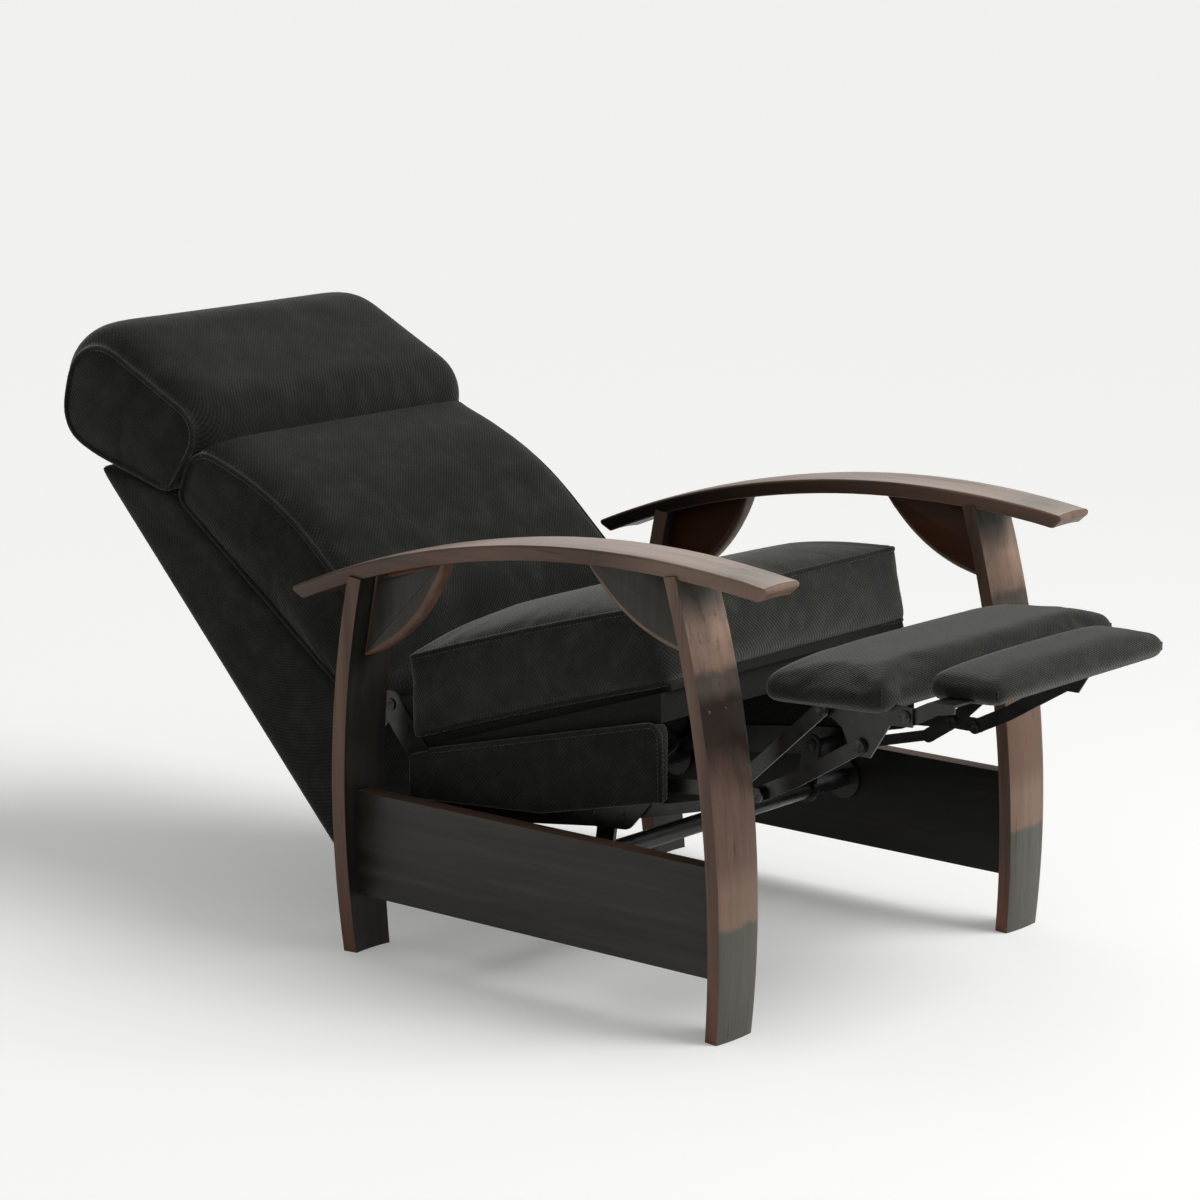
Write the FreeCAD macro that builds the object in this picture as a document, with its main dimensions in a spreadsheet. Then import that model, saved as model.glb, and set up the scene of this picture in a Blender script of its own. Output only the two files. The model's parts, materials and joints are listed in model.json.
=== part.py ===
"""Barrel-stave recliner: a push-back lounge chair with arms and legs cut from barrel staves.

Millimetres, +Z up, and the sitter faces -Y. The chair is drawn fully reclined with the footrest out.
Every left-hand piece (x > 0) is built once and mirrored to the right.
"""
import FreeCAD, Part
import Sketcher
import math
import os

Vector = FreeCAD.Vector
doc = FreeCAD.newDocument("barrel_recliner")

# Driving dimensions. Points are pairs NAME_y, NAME_z in the side view; widths hang on half the seat box.
DIMENSIONS = {
    "box_half": 282, "side_gap": 46,
    "bow_radius": 1500, "barrel_radius": 330, "stave_width": 86, "stave_thick": 21,
    "arm_mid_y": -150, "arm_mid_z": 611, "arm_half": 412, "arm_tilt": 7.1, "arm_nose": 9, "arm_taper": 30,
    "front_leg_y": -480, "rear_leg_y": 164, "leg_bilge_z": 400, "front_leg_tilt": 10, "rear_leg_tilt": 7.5,
    "front_leg_drop": 3, "rear_leg_drop": 78, "leg_down": 420,
    "rail_low": 77, "rail_height": 147, "rail_thick": 25, "corbel_thick": 24,
    "front_corbel_radius": 241.5, "front_corbel_run": 26.9, "front_corbel_rise": 124.2,
    "rear_corbel_radius": 235, "rear_corbel_run": 48.8, "rear_corbel_rise": 27.4,
    "tube_radius": 13, "tube_wall": 2, "flange_radius": 30, "flange_thick": 5,
    "plate": 3, "plate_gap": 0.8, "rivet_radius": 5, "rivet_head": 8.5, "head_thick": 2.2, "run_gap": 0.05,
    "open_gap": 0.3, "seat_gap": 0.3, "link_width": 20, "idler_width": 15,
    "swing_width": 30, "swing_plate": 6,
    "swing_inset": 36, "plate_width": 40, "head_room": 3.6, "ottoman_tab_inset": 82, "flipper_tab_inset": 122,
    "apron_thick": 21, "rail_depth": 20, "deck_thick": 12, "apron_heel": 68,
    "front_rail_low": 380, "front_rail_depth": 25,
    "rear_rail_y": 76, "rear_rail_low": 230, "rear_rail_depth": 22,
    "cushion_inset": 4, "seat_crown": 22, "seat_rear_crown": 22, "seat_front_crown": 8, "seat_pinch": 10,
    "back_inset": 2, "panel_thick": 14, "padding_wall": 30, "cushion_low": 210, "cushion_high": 550,
    "back_crown": 18, "roll_over": 2, "roll_low": 582, "roll_high": 724, "roll_crown": 10,
    "board_thick": 11, "flipper_thick": 9.5, "pad_crown": 8, "flipper_crown": 4, "pad_edge": 3, "pad_pinch": 4,
    "ottoman_inset": 14, "ottoman_board_inset": 54, "flipper_inset": 87, "flipper_board_inset": 92,
    "ottoman_tab_rear": -546, "ottoman_tab_front": -664, "flipper_tab_rear": -722, "flipper_tab_front": -762,
    "front_tube_y": -191, "front_tube_z": 172, "rear_tube_y": 119, "rear_tube_z": 157,
    "front_swing_y": -201, "front_swing_z": 239, "rear_swing_y": 59, "rear_swing_z": 204,
    "crank_y": -298, "crank_z": 292, "idler_y": -254, "idler_z": 243,
    "knee_y": -426, "knee_z": 303, "crank_tip_y": -468, "crank_tip_z": 303,
    "tail_y": -385.7, "tail_z": 276.9, "elbow_y": -524, "elbow_z": 331,
    "upper_y": -569, "upper_z": 432, "lower_y": -624, "lower_z": 391,
    "flip_y": -691, "flip_z": 438, "back_hinge_y": 164, "back_hinge_z": 330,
    "back_tab_y": 220, "back_tab_z": 264,
}

# Side-view corners (y, z) of the flat and stuffed pieces; a third number rounds the corner to that radius.
OUTLINES = {
    "apron": [(-332, 370), (-332, 275), (-124, 226), (114, 208), (114, 270), (78, 281), (-326, 379.7)],
    "deck": [(-330, 434), (108, 291)],
    "seat_top": [(116, 420), (-312, 546)],
    "back": [(190, 306), (241, 105), (730, 626), (572, 583)],
    "back_cushion": [(524, 655, 40), (360, 600, 500), (170, 470, 32)],
    "head_roll": [(801, 652, 50), (764, 800, 58), (516, 685, 18)],
    "ottoman_board": [(-504, 444.4), (-670, 452.7)],
    "ottoman_pad": [(-490, 471), (-677, 486)],
    "ottoman_web": [(-702, 450), (-702, 426), (-668, 424), (-638, 377), (-610, 377), (-594, 410), (-578, 420),
                    (-556, 420)],
    "flipper_board": [(-700, 459), (-796, 464)],
    "flipper_pad": [(-697, 486), (-800, 487)],
    "flipper_web": [(-762, 451), (-736, 446), (-702, 428), (-680, 428), (-680, 447), (-702, 450)],
}

AXES = ("y", "z", "round")

# Cross-sections of a stuffed piece: share of its half width, of its pinched corners and of its crown.
STATIONS = ((-1.0, 1.0, 0.35), (-0.86, 0.18, 0.8), (0.0, 0.0, 1.0), (0.86, 0.18, 0.8), (1.0, 1.0, 0.35))

# Sideways place of the wooden side frames, as an expression.
SIDE_X = "(d.box_half + d.side_gap)"


def write_sheet():
    """Put every driving dimension and outline corner in the sheet as an aliased cell."""
    sheet = doc.addObject("Spreadsheet::Sheet", "d")
    cells = dict(DIMENSIONS)
    for name, corners in OUTLINES.items():
        for index, corner in enumerate(corners):
            for axis, number in zip(AXES, corner):
                cells[f"{name}_corner{index}_{axis}"] = number
    for row, (alias, number) in enumerate(cells.items(), start=1):
        sheet.set(f"A{row}", alias)
        sheet.set(f"B{row}", str(number))
        sheet.setAlias(f"B{row}", alias)
    doc.recompute()
    return sheet


sheet = write_sheet()
parts = {}


def value(expression):
    """A sheet expression as a plain number."""
    return float(sheet.evalExpression(expression))


def size(alias):
    """A driving dimension as a plain number."""
    return value("d." + alias)


def outline(name):
    """The corners of a named outline, read from the sheet."""
    return [tuple(size(f"{name}_corner{index}_{axis}") for axis in AXES[:len(corner)])
            for index, corner in enumerate(OUTLINES[name])]


def bind(obj, **expressions):
    """Tie properties to sheet expressions; a double underscore stands for a dot."""
    for prop, expression in expressions.items():
        obj.setExpression(prop.replace("__", "."), expression)
    return obj


def keep(label, obj):
    """Name a finished sub-part."""
    obj.Label = label
    parts[label] = obj
    return obj


def both_sides(stem, obj):
    """Keep a left-hand piece and its mirror image."""
    keep(stem + "_left", obj)
    mirror = doc.addObject("Part::Mirroring", stem + "_mirror")
    mirror.Source = obj
    mirror.Normal = Vector(1, 0, 0)
    keep(stem + "_right", mirror)


def solid(name, shape):
    """A shape worked out from the sheet, as an object of the document."""
    obj = doc.addObject("Part::Feature", name)
    obj.Shape = shape
    return obj


def joined(kind, name, shapes):
    obj = doc.addObject(kind, name)
    obj.Shapes = shapes
    return obj


def cut(name, base, tool):
    obj = doc.addObject("Part::Cut", name)
    obj.Base, obj.Tool = base, tool
    return obj


def box(name, length, width, height, x, y, z):
    """A box whose six sizes are sheet expressions."""
    obj = doc.addObject("Part::Box", name)
    return bind(obj, Length=length, Width=width, Height=height,
                Placement__Base__x=x, Placement__Base__y=y, Placement__Base__z=z)


def rod(name, radius, x, length, y, z):
    """A cylinder along X whose sizes are sheet expressions."""
    obj = doc.addObject("Part::Cylinder", name)
    obj.Placement = FreeCAD.Placement(Vector(), FreeCAD.Rotation(Vector(0, 1, 0), 90))
    return bind(obj, Radius=radius, Height=length,
                Placement__Base__x=x, Placement__Base__y=y, Placement__Base__z=z)


def origin_plane(body, role):
    return next(item for item in body.Origin.OriginFeatures if item.Role == role)


def stave(name, rear, front):
    """A bowed, cupped barrel stave along local X with its outer face up and its middle at the origin.

    Its reach to either end is a sheet expression. The bowed strip is revolved about the barrel's axis, so the
    stave narrows to its ends.
    """
    body = doc.addObject("PartDesign::Body", name)
    sketch = body.newObject("Sketcher::SketchObject", name + "_strip")
    sketch.AttachmentSupport = [(origin_plane(body, "XZ_Plane"), "")]
    sketch.MapMode = "FlatFace"
    bow, thick = size("bow_radius"), size("stave_thick")
    reach = {"front": value(front), "rear": value(rear)}

    def arc(radius):
        first = math.acos(reach["front"] / radius)
        last = math.acos(-reach["rear"] / radius)
        circle = Part.Circle(Vector(0, -bow, 0), Vector(0, 0, 1), radius)
        return Part.ArcOfCircle(circle, first, last)

    def line(a, b):
        return Part.LineSegment(a, b)

    outer, inner = arc(bow), arc(bow - thick)
    axis_z = -size("barrel_radius")
    sketch.addGeometry([outer, line(outer.StartPoint, inner.StartPoint), inner,
                        line(inner.EndPoint, outer.EndPoint)], False)
    sketch.addGeometry(line(Vector(0, axis_z, 0), Vector(bow, axis_z, 0)), True)
    rule = Sketcher.Constraint
    named = {"bow": "d.bow_radius", "inner": "d.bow_radius - d.stave_thick", "centre": "d.bow_radius",
             "front": front, "rear": rear, "axis": "d.barrel_radius", "run": "d.bow_radius"}
    sketch.addConstraint([
        rule("Coincident", 0, 1, 1, 1), rule("Coincident", 1, 2, 2, 1),
        rule("Coincident", 2, 2, 3, 1), rule("Coincident", 3, 2, 0, 2),
        rule("Vertical", 1), rule("Vertical", 3),
        rule("Coincident", 0, 3, 2, 3), rule("PointOnObject", 0, 3, -2),
        rule("Horizontal", 4), rule("PointOnObject", 4, 1, -2)])
    measures = [("bow", rule("Radius", 0, bow)), ("inner", rule("Radius", 2, bow - thick)),
                ("centre", rule("DistanceY", 0, 3, -1, 1, bow)),
                ("front", rule("DistanceX", -1, 1, 0, 1, reach["front"])),
                ("rear", rule("DistanceX", 0, 2, -1, 1, reach["rear"])),
                ("axis", rule("DistanceY", 4, 1, -1, 1, -axis_z)),
                ("run", rule("DistanceX", 4, 1, 4, 2, bow))]
    for key, constraint in measures:
        index = sketch.addConstraint(constraint)
        sketch.renameConstraint(index, key)
        sketch.setExpression("Constraints." + key, named[key])
    turn = body.newObject("PartDesign::Revolution", name + "_turn")
    turn.Profile = sketch
    turn.ReferenceAxis = (sketch, ["Axis0"])
    turn.Midplane = True
    bind(turn, Angle="2 * asin(d.stave_width / (2 * d.barrel_radius))")
    return body


def place_stave(body, y, z, length_axis, outward):
    """Stand a stave at its middle point, with its length and outer face turned as asked."""
    turn = FreeCAD.Rotation(length_axis, Vector(), outward, "XZY")
    body.Placement = FreeCAD.Placement(Vector(), turn)
    bind(body, Placement__Base__x=SIDE_X, Placement__Base__y=y, Placement__Base__z=z)


def direction(degrees):
    """Unit vector in the side view, measured from +Y towards +Z."""
    angle = math.radians(degrees)
    return Vector(0, math.cos(angle), math.sin(angle))


def wedge(name, x_from, x_to, outline):
    """A flat-sided prism between two planes of x, from a closed side-view outline of (y, z) points."""
    ring = [Vector(x_from, y, z) for y, z in outline]
    face = Part.Face(Part.makePolygon(ring + ring[:1]))
    return solid(name, face.extrude(Vector(x_to - x_from, 0, 0)))


def arm_ends():
    """Cutters for the bevelled underside at both ends of an arm, in the arm's place."""
    tilt, half = size("arm_tilt"), size("arm_half")
    along, up = direction(-tilt), direction(90 - tilt)
    middle = Vector(0, size("arm_mid_y"), size("arm_mid_z"))
    wide, bow = size("stave_width"), size("bow_radius")
    drop = half * half / (2 * bow)
    tools = []
    for sign in (1, -1):
        tip = middle + along * (sign * half) - up * (drop + size("arm_nose"))
        low = tip - along * (sign * size("arm_taper")) - up * size("stave_thick")
        out = tip + along * (sign * size("arm_taper"))
        deep = out - up * (2 * size("stave_thick"))
        left = value(SIDE_X) - wide
        tools.append(wedge("arm_end", left, left + 2 * wide, [(p.y, p.z) for p in (low, tip, out, deep)]))
    return joined("Part::MultiFuse", "arm_ends", tools)


def build_frame():
    """Arms, legs, side rails and corbels of the wooden side frames."""
    arm = stave("arm", "d.arm_half", "d.arm_half")
    tilt = size("arm_tilt")
    place_stave(arm, "d.arm_mid_y", "d.arm_mid_z", direction(-tilt), direction(90 - tilt))
    doc.recompute()
    arm = cut("arm_cut", arm, arm_ends())
    both_sides("arm", arm)
    floor = box("floor", "4 * d.stave_width", "4 * d.arm_half", "d.arm_half",
                f"{SIDE_X} - 2 * d.stave_width", "d.arm_mid_y - 2 * d.arm_half", "-d.arm_half")
    legs = {}
    for end, sign in (("front", -1), ("rear", 1)):
        stem = end + "_leg"
        leg = stave(stem + "_stave", "d.leg_down", f"d.arm_mid_z - d.leg_bilge_z - d.{stem}_drop")
        tilt = 90 + sign * size(stem + "_tilt")
        place_stave(leg, f"d.{stem}_y", "d.leg_bilge_z", direction(tilt), direction(tilt - sign * 90))
        legs[end] = cut(stem + "_foot", cut(stem + "_top", leg, arm), floor)
        both_sides(stem, legs[end])
    ends = joined("Part::MultiFuse", "rail_ends", list(legs.values()))
    rail = box("rail_board", "d.rail_thick", "d.rear_leg_y - d.front_leg_y", "d.rail_height",
               f"{SIDE_X} - d.rail_thick / 2", "d.front_leg_y", "d.rail_low")
    both_sides("side_rail", cut("rail_cut", rail, ends))
    for end, leg in legs.items():
        stem = end + "_corbel"
        disc = rod(stem + "_disc", f"d.{stem}_radius", f"{SIDE_X} - d.corbel_thick / 2", "d.corbel_thick",
                   f"d.{end}_leg_y + d.{stem}_run", f"d.arm_mid_z + d.{stem}_rise")
        trimmed = cut(stem + "_cut", disc, joined("Part::MultiFuse", stem + "_tools", [arm, leg]))
        doc.recompute()
        under_arm = min(trimmed.Shape.Solids, key=lambda piece: piece.CenterOfMass.z)
        both_sides(stem, solid(stem + "_board", under_arm))


def build_tubes():
    """Two steel cross tubes, bolted between the side rails, on which the swing links turn."""
    for stem in ("front_tube", "rear_tube"):
        inner_face = f"({SIDE_X} - d.rail_thick / 2)"
        at = (f"d.{stem}_y", f"d.{stem}_z")
        tube = rod(stem + "_wall", "d.tube_radius", f"-{inner_face}", f"2 * {inner_face}", *at)
        bore = rod(stem + "_bore", "d.tube_radius - d.tube_wall", f"-{inner_face}", f"2 * {inner_face}", *at)
        left = rod(stem + "_flange_l", "d.flange_radius", f"{inner_face} - d.flange_thick",
                   "d.flange_thick", *at)
        right = rod(stem + "_flange_r", "d.flange_radius", f"-{inner_face}", "d.flange_thick", *at)
        whole = joined("Part::MultiFuse", stem + "_whole", [tube, left, right])
        keep(stem, cut(stem + "_open", whole, bore))


# Sideways place of each layer of flat steel: the inner face of its left-hand plate, as an expression.
LAYERS = {"seat": "(d.box_half - d.apron_thick - d.plate)"}
STACK = (("idler", "seat", "d.plate_gap"), ("crank", "idler", "d.plate_gap"), ("upper", "crank", "d.plate_gap"),
         ("lower", "upper", "d.head_room"), ("ottoman", "lower", "d.plate_gap"),
         ("flipper", "ottoman", "d.plate_gap"))
for layer, outside, gap in STACK:
    LAYERS[layer] = f"({LAYERS[outside]} - d.plate - {gap})"
LAYERS["back"] = LAYERS["idler"]
LAYERS["swing"] = f"({LAYERS['seat']} - d.swing_inset)"


def strap(name, layer, path, width="d.link_width", thick="d.plate"):
    """Flat steel bar with round ends through the named side-view points."""
    pieces = []
    for index, point in enumerate(path):
        pieces.append(rod(f"{name}_eye{index}", f"{width} / 2", LAYERS[layer], thick,
                          f"d.{point}_y", f"d.{point}_z"))
    for a, b in zip(path, path[1:]):
        run, rise = f"(d.{b}_y - d.{a}_y)", f"(d.{b}_z - d.{a}_z)"
        angle, length = f"atan2({rise}; {run})", f"hypot({run}; {rise})"
        bar = doc.addObject("Part::Box", f"{name}_{a}")
        bar.Placement = FreeCAD.Placement(Vector(), FreeCAD.Rotation(Vector(1, 0, 0), 30))
        bind(bar, Length=thick, Width=length, Height=width, Placement__Base__x=LAYERS[layer],
             Placement__Base__y=f"d.{a}_y + {width} / 2 * sin({angle})",
             Placement__Base__z=f"d.{a}_z - {width} / 2 * cos({angle})", Placement__Rotation__Angle=angle)
        pieces.append(bar)
    return joined("Part::MultiFuse", name + "_bar", pieces)


def bored(name, base, layer, points, gap="d.run_gap", thick="d.plate"):
    """Bore rivet holes through a plate at the named points; a gap of 0 holds the rivet tight."""
    holes = [rod(f"{name}_hole{index}", f"d.rivet_radius + {gap}", f"{LAYERS[layer]} - d.plate",
                 f"{thick} + 2 * d.plate", f"d.{point}_y", f"d.{point}_z")
             for index, point in enumerate(points)]
    tool = holes[0] if len(holes) == 1 else joined("Part::MultiFuse", f"{name}_holes_{points[0]}", holes)
    return cut(f"{name}_bored_{points[0]}", base, tool)


def rivet(point, outer, inner, outer_head=True, inner_head=True, thick="d.plate"):
    """A rivet held in its outer plate and running in the inner one.

    Without its outer head it is flush; without its inner head it is a stub that stops short.
    """
    name = f"{point}_rivet"
    at = (f"d.{point}_y", f"d.{point}_z")
    top = f"({LAYERS[outer]} + d.plate)"
    low = f"({LAYERS[inner]} - d.run_gap)" if inner_head else f"({LAYERS[inner]} + {thick} + d.open_gap)"
    pieces = [rod(name + "_shank", "d.rivet_radius", low, f"{top} - {low}", *at)]
    if outer_head:
        pieces.append(rod(name + "_head", "d.rivet_head", top, "d.head_thick", *at))
    if inner_head:
        pieces.append(rod(name + "_foot", "d.rivet_head", f"{low} - d.head_thick", "d.head_thick", *at))
    return pieces[0] if len(pieces) == 1 else joined("Part::MultiFuse", name, pieces)


def rivet_group(label, rivets):
    """All rivets of one moving body, left and right, as one node of separate solids."""
    mirrors = []
    for item in rivets:
        mirror = doc.addObject("Part::Mirroring", item.Name + "_mirror")
        mirror.Source = item
        mirror.Normal = Vector(1, 0, 0)
        mirrors.append(mirror)
    group = doc.addObject("Part::Compound", label)
    group.Links = rivets + mirrors
    keep(label, group)


def toward(point, goal, distance):
    """A side-view point moved a distance towards another."""
    share = distance / math.hypot(goal[0] - point[0], goal[1] - point[1])
    return point[0] + (goal[0] - point[0]) * share, point[1] + (goal[1] - point[1]) * share


def arched(corners, bulges, x, inset, share):
    """A closed wire at one x: each side of the form is a shallow outward arc or a line.

    The first side is the seat of the form, so its two corners are drawn in along it and it stays flat.
    """
    centre = [sum(values) / len(corners) for values in zip(*corners)]
    goals = [corners[1], corners[0]] + [centre] * (len(corners) - 2)
    points = [Vector(x, *toward(corner, goal, inset)) for corner, goal in zip(corners, goals)]
    edges = []
    for start, end, bulge in zip(points, points[1:] + points[:1], bulges):
        if not bulge:
            edges.append(Part.LineSegment(start, end).toShape())
            continue
        outward = (end - start).cross(Vector(1, 0, 0)).normalize()
        edges.append(Part.Arc(start, (start + end) * 0.5 + outward * (bulge * share), end).toShape())
    return Part.Wire(edges)


def rounded(base, corners, x, swell):
    """A closed wire at one x: a flat base, then a line round the other corners, each rounded to its radius.

    Every rounded corner moves away from the middle of the base by the swell.
    """
    first, last = (Vector(x, *point) for point in base)
    middle = (first + last) * 0.5
    path = [last]
    for y, z, _ in corners:
        corner = Vector(x, y, z)
        path.append(corner + (corner - middle).normalize() * swell)
    path.append(first)
    edges, here = [Part.LineSegment(first, last).toShape()], last
    for before, corner, after, (_, _, radius) in zip(path, path[1:], path[2:], corners):
        back, ahead = (before - corner).normalize(), (after - corner).normalize()
        bisector = (back + ahead).normalize()
        half_angle = math.acos(back.dot(ahead)) / 2
        run = radius / math.tan(half_angle)
        top = corner + bisector * (radius / math.sin(half_angle) - radius)
        edges.append(Part.LineSegment(here, corner + back * run).toShape())
        edges.append(Part.Arc(corner + back * run, top, corner + ahead * run).toShape())
        here = corner + ahead * run
    edges.append(Part.LineSegment(here, first).toShape())
    return Part.Wire(edges)


def pillow(label, half, corners, bulges, pinch):
    """A stuffed box: full in the middle, drawn in towards both ends."""
    wires = [arched(corners, bulges, half * x, pinch * inset, share) for x, inset, share in STATIONS]
    keep(label, solid(label, Part.makeLoft(wires, True, False)))


def bolster(label, half, base, corners, crown):
    """A stuffed form with a rounded outline, seated on its flat base, with room inside for filling."""
    wires = [rounded(base, corners, half * x, crown * share) for x, _, share in STATIONS]
    padding = solid(label + "_padding", Part.makeLoft(wires, True, False))
    ring, wall = [*base, *(corner[:2] for corner in corners)], size("padding_wall")
    room = wedge(label + "_room", wall - half, half - wall, inset(ring, wall))
    keep(label, cut(label, padding, room))


def lifted(a, b, gap):
    """Two side-view points moved off their own line by a gap, to its left."""
    run, rise = b[0] - a[0], b[1] - a[1]
    length = math.hypot(run, rise)
    shift = (-rise / length * gap, run / length * gap)
    return [(y + shift[0], z + shift[1]) for y, z in (a, b)]


def on_line(a, b, y):
    """The point at y on the side-view line through two points."""
    return y, a[1] + (b[1] - a[1]) * (y - a[0]) / (b[0] - a[0])


def build_swing_links():
    """The four links that stand on the cross tubes and carry the seat."""
    for stem in ("front", "rear"):
        at = (f"d.{stem}_tube_y", f"d.{stem}_tube_z")
        bar = strap(stem + "_swing_link", "swing", [stem + "_tube", stem + "_swing"],
                    "d.swing_width", "d.swing_plate")
        collar = rod(stem + "_collar", "d.tube_radius + d.swing_plate", LAYERS["swing"], "d.swing_plate", *at)
        bore = rod(stem + "_eye_bore", "d.tube_radius + d.run_gap", f"{LAYERS['swing']} - d.plate",
                   "d.swing_plate + 2 * d.plate", *at)
        link = cut(stem + "_eye", joined("Part::MultiFuse", stem + "_collared", [bar, collar]), bore)
        if stem == "front":
            link = bored("front_swing_pin", link, "swing", ["front_swing"], thick="d.swing_plate")
        both_sides(stem + "_swing_link", link)


def build_seat():
    """Seat plates with their rivets, aprons, rails, deck and cushion."""
    pivots = ["crank", "idler", "front_swing", "rear_swing", "back_hinge"]
    plate = strap("seat_plate", "seat", pivots, width="d.plate_width")
    both_sides("seat_plate", bored("seat_plate", plate, "seat", pivots, gap="0"))
    rivet_group("seat_rivets", [
        rivet("crank", "seat", "crank", outer_head=False), rivet("idler", "seat", "idler", outer_head=False),
        rivet("front_swing", "seat", "swing", outer_head=False), rivet("back_hinge", "seat", "back"),
        rivet("rear_swing", "seat", "swing", outer_head=False, inner_head=False, thick="d.swing_plate")])
    outer, plate_in = size("box_half"), value(LAYERS["seat"])
    inner, depth = outer - size("apron_thick"), size("rail_depth")
    apron = outline("apron")
    rear, shoulder = apron[-2:]
    heel = on_line(rear, shoulder, size("apron_heel"))
    both_sides("seat_apron", wedge("seat_apron", inner, outer, apron))
    deck_front, deck_rear = outline("deck")
    under = lifted(deck_rear, deck_front, size("deck_thick"))
    keep("seat_deck", wedge("seat_deck", -plate_in, plate_in, [deck_front, deck_rear] + under))
    both_sides("seat_side_rail", wedge("seat_side_rail", inner - depth, inner + depth / 2, [
        shoulder, heel, on_line(*under, heel[0]), on_line(*under, shoulder[0])]))
    rear_rail = ("rear_rail", plate_in, size("rear_rail_y"))
    for stem, half, front in (("front_rail", inner - depth, shoulder[0]), rear_rail):
        low, back = size(stem + "_low"), front + size(stem + "_depth")
        keep("seat_" + stem, wedge("seat_" + stem, -half, half, [
            (front, low), (back, low), on_line(*under, back), on_line(*under, front)]))
    base = lifted(deck_rear, deck_front, -size("seat_gap"))[::-1]
    pillow("seat_cushion", outer - size("cushion_inset"), base + outline("seat_top"),
           (0, size("seat_rear_crown"), size("seat_crown"), size("seat_front_crown")), size("seat_pinch"))


def inset(corners, gap):
    """The corners of a polygon drawn inwards by a gap from every side."""
    sides = [lifted(a, b, gap) for a, b in zip(corners, corners[1:] + corners[:1])]
    inner = []
    for (a, b), (c, d) in zip(sides[-1:] + sides[:-1], sides):
        run, rise, other_run, other_rise = b[0] - a[0], b[1] - a[1], d[0] - c[0], d[1] - c[1]
        share = ((c[0] - a[0]) * other_rise - (c[1] - a[1]) * other_run) / (run * other_rise - rise * other_run)
        inner.append((a[0] + run * share, a[1] + rise * share))
    return inner


def build_back():
    """The hollow back, built of mitred boards, with its hinge brackets, cushion and head roll."""
    corners = outline("back")
    half, gap = value("d.box_half - d.back_inset"), size("seat_gap")
    bracket = strap("back_bracket", "back", ["back_hinge", "back_tab"])
    both_sides("back_bracket", bored("back_bracket", bracket, "back", ["back_hinge"]))
    pair = [parts["back_bracket_left"], parts["back_bracket_right"]]
    brackets = joined("Part::MultiFuse", "back_brackets", pair)
    side_in = value(f"{LAYERS['back']} + d.plate")
    both_sides("back_side", wedge("back_side", side_in, half, corners))
    inner = inset(corners, size("panel_thick"))
    for index, label in enumerate(("back_foot", "back_panel", "back_crest", "back_deck")):
        after = (index + 1) % len(corners)
        mitred = [corners[index], corners[after], inner[after], inner[index]]
        board = wedge(label + "_board", -side_in, side_in, mitred)
        keep(label, cut(label, board, brackets))
    foot, _, crest, brow = corners
    base = lifted(*(on_line(foot, brow, size(place)) for place in ("cushion_low", "cushion_high")), gap)
    bolster("back_cushion", half, base, outline("back_cushion"), size("back_crown"))
    base = lifted(*(on_line(brow, crest, size(place)) for place in ("roll_low", "roll_high")), gap)
    bolster("head_roll", value("d.box_half + d.roll_over"), base, outline("head_roll"), size("roll_crown"))


def build_links():
    """The footrest linkage: crank, idler, upper and lower links, left and right, with their rivets."""
    crank = strap("crank", "crank", ["crank", "knee", "crank_tip"])
    crank = bored("crank", crank, "crank", ["crank"])
    both_sides("crank", bored("crank", crank, "crank", ["knee", "crank_tip"], gap="0"))
    rivet_group("crank_rivets", [
        rivet("knee", "crank", "upper"), rivet("crank_tip", "crank", "lower", outer_head=False)])
    upper = strap("upper_link", "upper", ["tail", "knee", "upper"])
    upper = bored("upper_link", upper, "upper", ["knee"])
    both_sides("upper_link", bored("upper_link", upper, "upper", ["upper"], gap="0"))
    rivet_group("upper_rivets", [rivet("upper", "upper", "ottoman")])
    lower = strap("lower_link", "lower", ["crank_tip", "elbow", "lower"])
    lower = bored("lower_link", lower, "lower", ["crank_tip"])
    both_sides("lower_link", bored("lower_link", lower, "lower", ["lower"], gap="0"))
    rivet_group("lower_studs", [rivet("lower", "lower", "ottoman", inner_head=False)])
    idler = strap("idler_link", "idler", ["idler", "tail"], "d.idler_width")
    idler = bored("idler_link", idler, "idler", ["idler"])
    both_sides("idler_link", bored("idler_link", idler, "idler", ["tail"], gap="0"))
    rivet_group("idler_studs", [rivet("tail", "idler", "upper", inner_head=False)])


def footrest_pad(stem, thick, crown):
    """A flat board and the pad on it; returns the rear and front of the board's underside."""
    low_rear, low_front = outline(stem + "_board")
    half = value(f"d.box_half - d.{stem}_board_inset")
    front, rear = lifted(low_front, low_rear, thick)
    keep(stem + "_board", wedge(stem + "_board", -half, half, [low_rear, low_front, front, rear]))
    seat = lifted(front, rear, size("seat_gap"))
    top_rear, top_front = outline(stem + "_pad")
    edge = size("pad_edge")
    pillow(stem + "_pad", value(f"d.box_half - d.{stem}_inset"), [
        on_line(*seat, top_rear[0]), on_line(*seat, top_front[0]), top_front, top_rear],
        (0, edge, crown, edge), size("pad_pinch"))
    return low_rear, low_front


def footrest_bracket(stem, low_rear, low_front):
    """An angle of flat steel: a web beside the links and a tab under the board."""
    ends = [on_line(low_rear, low_front, size(f"{stem}_tab_{end}")) for end in ("rear", "front")]
    plate_x, plate = value(LAYERS[stem]), size("plate")
    web = wedge(stem + "_web", plate_x, plate_x + plate, ends + outline(stem + "_web"))
    tab = wedge(stem + "_tab", value(f"d.box_half - d.{stem}_tab_inset"), plate_x + plate,
                ends + lifted(*ends[::-1], -plate))
    return joined("Part::MultiFuse", stem + "_angle", [web, tab])


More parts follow.
